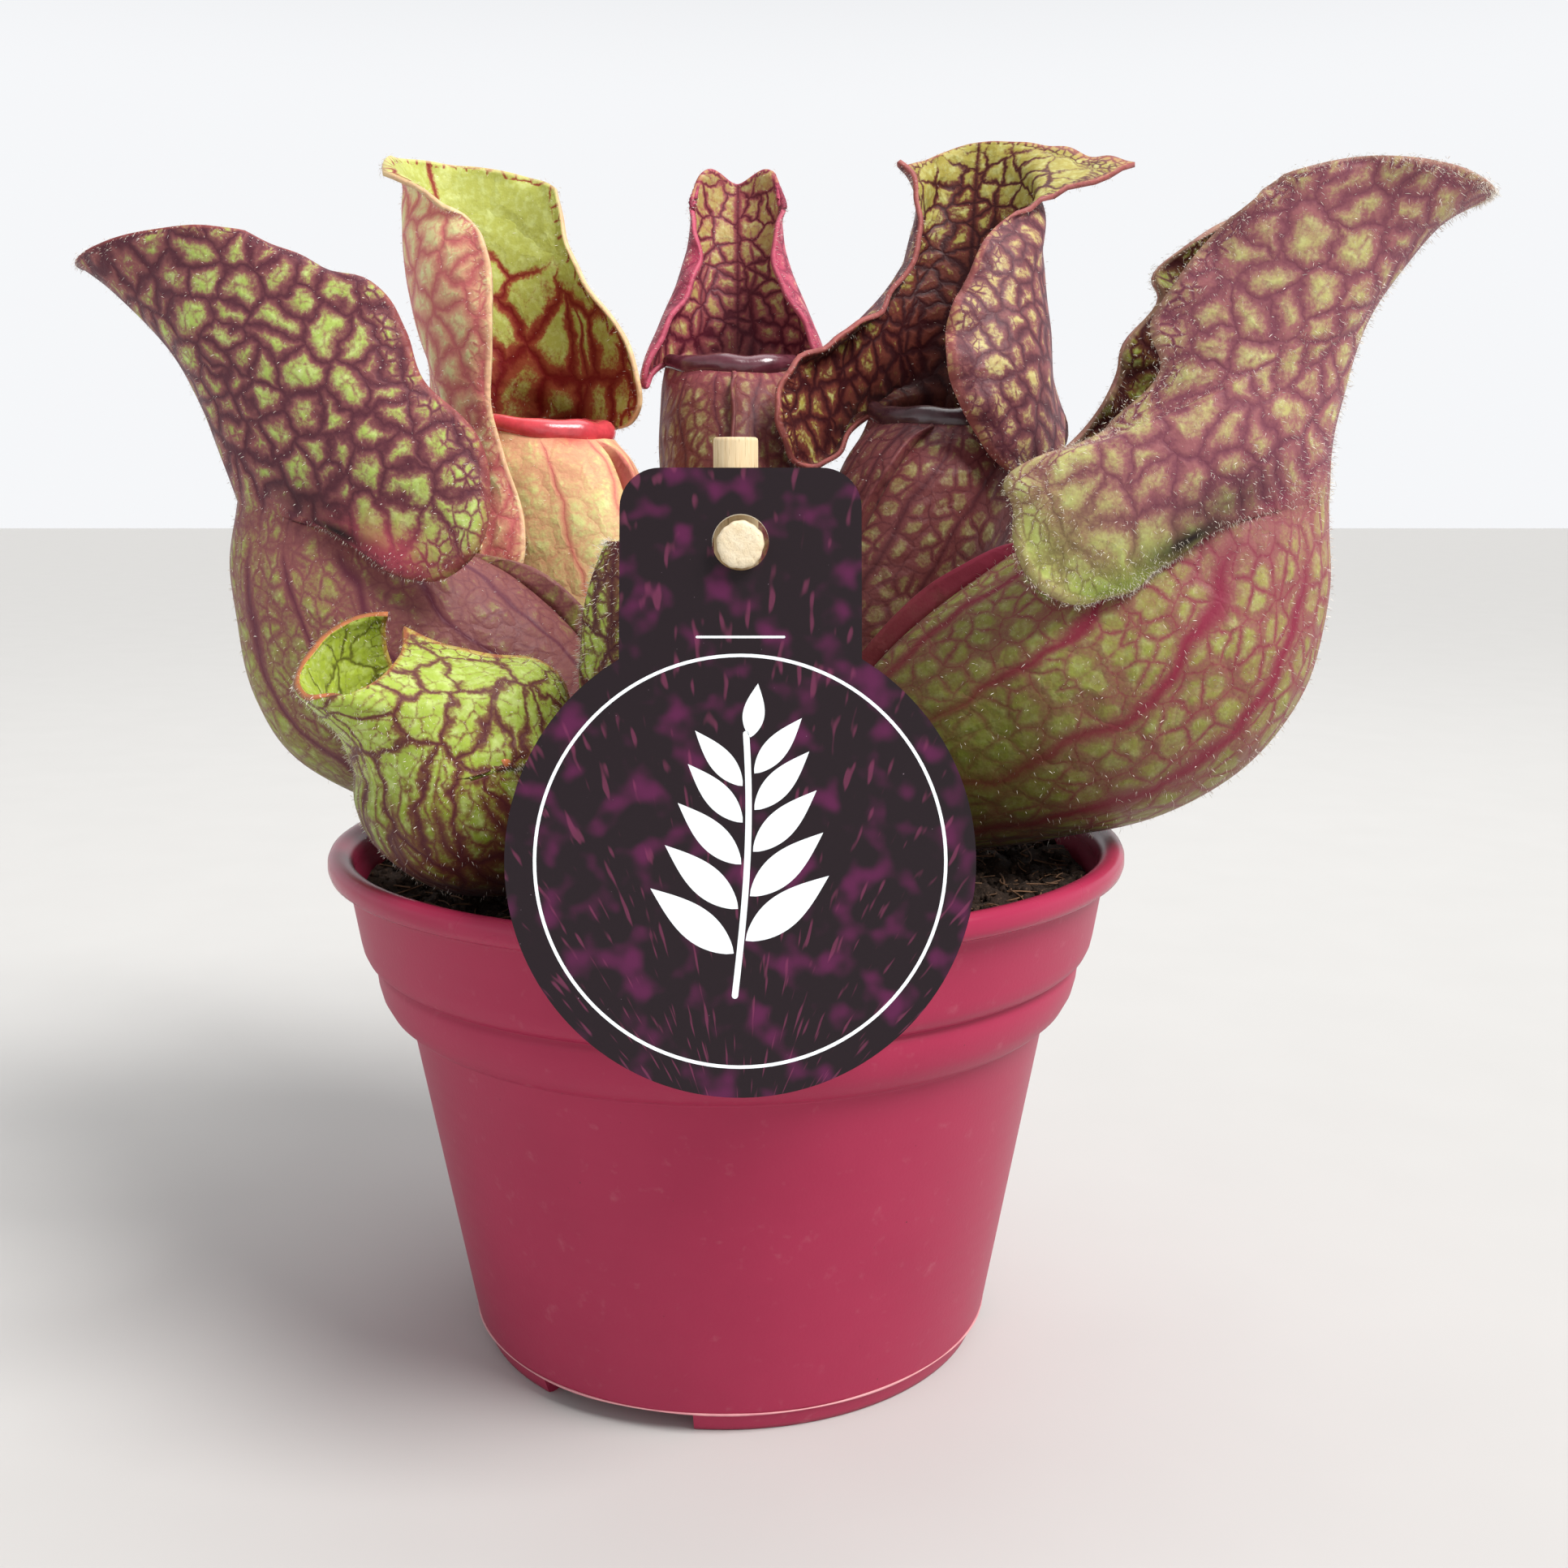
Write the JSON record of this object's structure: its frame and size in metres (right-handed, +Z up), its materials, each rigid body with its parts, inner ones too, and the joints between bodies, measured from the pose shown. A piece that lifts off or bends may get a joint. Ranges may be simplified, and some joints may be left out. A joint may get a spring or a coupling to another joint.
{
  "type": "potted pitcher plant",
  "caption": "Carnivorous pitcher plant with hooded, net-veined tubular leaves in a round tapered nursery pot of peat, with a card label on a wooden stick.",
  "frame": {"origin": "middle of the bounding box's footprint, on the surface that the pot stands on", "axes": "+Z up, -Y towards the front where the label hangs, +X towards the largest leaf"},
  "size_m": [0.2038, 0.1384, 0.1902],
  "materials": {
    "pot_plastic": "satin",
    "peat": "rough",
    "crown_skin": "rough",
    "leaf_purple": "satin",
    "leaf_pale": "satin",
    "leaf_green": "satin",
    "card": "satin",
    "wood": "raw"
  },
  "bodies": {
    "root": {"pot": "pot_plastic", "soil": "peat", "crown": "crown_skin", "pitcher_right": "leaf_purple", "pitcher_left": "leaf_purple", "pitcher_rear_left": "leaf_pale", "pitcher_rear_centre": "leaf_purple", "pitcher_rear_right": "leaf_purple", "pitcher_front_left": "leaf_green", "pitcher_front_small": "leaf_green", "label_card": "card", "label_stick": "wood", "label_peg": "wood"}
  },
  "joints": []
}
